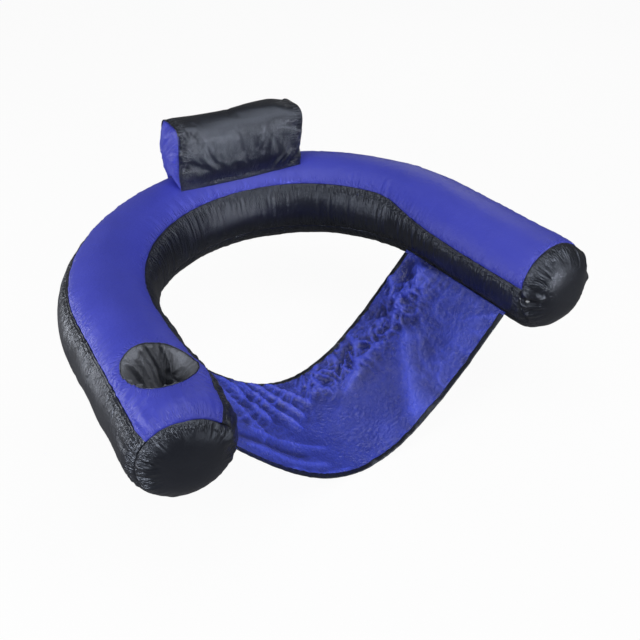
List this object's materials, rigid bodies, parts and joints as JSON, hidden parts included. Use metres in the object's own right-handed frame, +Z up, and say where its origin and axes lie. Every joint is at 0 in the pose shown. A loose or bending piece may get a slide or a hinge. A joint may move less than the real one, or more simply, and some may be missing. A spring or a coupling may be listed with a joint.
{
  "type": "inflatable pool chair",
  "caption": "Horseshoe-shaped inflatable pool chair with a nylon cover, a headrest, a cup holder in one arm and a hanging seat sling",
  "frame": {"origin": "centre of the tube's back arc, at the height of the tube's centreline, which is where the water stands", "axes": "+Z up, -Y the way the sitter faces and the open end of the horseshoe, +X towards the sitter's left arm; the cup holder is in the right arm at -X"},
  "size_m": [0.9528, 0.7937, 0.4886],
  "materials": {
    "blue_fabric": "satin blue nylon",
    "black_fabric": "satin black nylon",
    "tape": "matt woven tape",
    "coil": "nylon coil",
    "metal": "black enamel",
    "film": "vinyl film",
    "valve": "moulded vinyl"
  },
  "bodies": {
    "chair": {"cover_bottom_panel": "black_fabric", "cover_inner_side_panel": "black_fabric", "cover_outer_side_panel": "black_fabric", "cover_top_panel": "blue_fabric", "cup_pocket_floor": "black_fabric", "cup_pocket_wall": "black_fabric", "cup_rim_binding": "black_fabric", "cup_well": "film", "headrest_base_panel": "black_fabric", "headrest_bladder": "film", "headrest_left_panel": "blue_fabric", "headrest_right_panel": "blue_fabric", "headrest_valve_base": "film", "headrest_valve_eyelet": "black_fabric", "headrest_wrap_panel": "black_fabric", "headrest_zip_left_stop": "coil", "headrest_zip_lower_coil": "coil", "headrest_zip_lower_tape": "tape", "headrest_zip_right_stop": "coil", "headrest_zip_upper_coil": "coil", "headrest_zip_upper_tape": "tape", "inner_bottom_seam_tape": "tape", "inner_top_seam_tape": "tape", "left_cap_seam_tape": "tape", "left_end_cap": "black_fabric", "main_bladder": "film", "main_valve_base": "film", "main_valve_eyelet": "black_fabric", "main_zip_left_stop": "coil", "main_zip_lower_coil": "coil", "main_zip_lower_tape": "tape", "main_zip_right_stop": "coil", "main_zip_upper_coil": "coil", "main_zip_upper_tape": "tape", "outer_bottom_seam_tape": "tape", "outer_top_seam_tape": "tape", "right_cap_seam_tape": "tape", "right_end_cap": "black_fabric", "sling_front_binding": "black_fabric", "sling_left_hem_tape": "black_fabric", "sling_panel": "blue_fabric", "sling_rear_binding": "black_fabric", "sling_right_hem_tape": "black_fabric"},
    "main_slider": {"main_zip_slider": "metal"},
    "main_tab": {"main_zip_pull_tab": "metal"},
    "main_stem": {"main_valve_stem": "valve"},
    "main_plug": {"main_valve_plug": "valve"},
    "headrest_slider": {"headrest_zip_slider": "metal"},
    "headrest_tab": {"headrest_zip_pull_tab": "metal"},
    "headrest_stem": {"headrest_valve_stem": "valve"},
    "headrest_plug": {"headrest_valve_plug": "valve"}
  },
  "joints": [
    {"name": "main_zip_run", "type": "hinge", "parent": "chair", "child": "main_slider", "pos_m": [0, 0, 0], "axis": [0, 0, -1], "range_deg": [0, 40]},
    {"name": "main_tab_turn", "type": "hinge", "parent": "main_slider", "child": "main_tab", "pos_m": [-0.15898, 0.4368, 0], "axis": [0, 0, 1], "range_deg": [0, 150]},
    {"name": "main_valve_push", "type": "slide", "parent": "chair", "child": "main_stem", "axis": [0.7997, 0.6003, 0], "range_m": [0, 0.012]},
    {"name": "main_plug_pull", "type": "slide", "parent": "main_stem", "child": "main_plug", "axis": [0.7997, 0.6003, 0], "range_m": [0, 0.009]},
    {"name": "headrest_zip_run", "type": "slide", "parent": "chair", "child": "headrest_slider", "axis": [0.9919, -0.1271, 0], "range_m": [0, 0.12]},
    {"name": "headrest_tab_turn", "type": "hinge", "parent": "headrest_slider", "child": "headrest_tab", "pos_m": [-0.03649, 0.42347, 0.10675], "axis": [0, 0, 1], "range_deg": [0, 150]},
    {"name": "headrest_valve_push", "type": "slide", "parent": "chair", "child": "headrest_stem", "axis": [0.1271, 0.9919, 0], "range_m": [0, 0.012]},
    {"name": "headrest_plug_pull", "type": "slide", "parent": "headrest_stem", "child": "headrest_plug", "axis": [0.1271, 0.9919, 0], "range_m": [0, 0.009]}
  ]
}
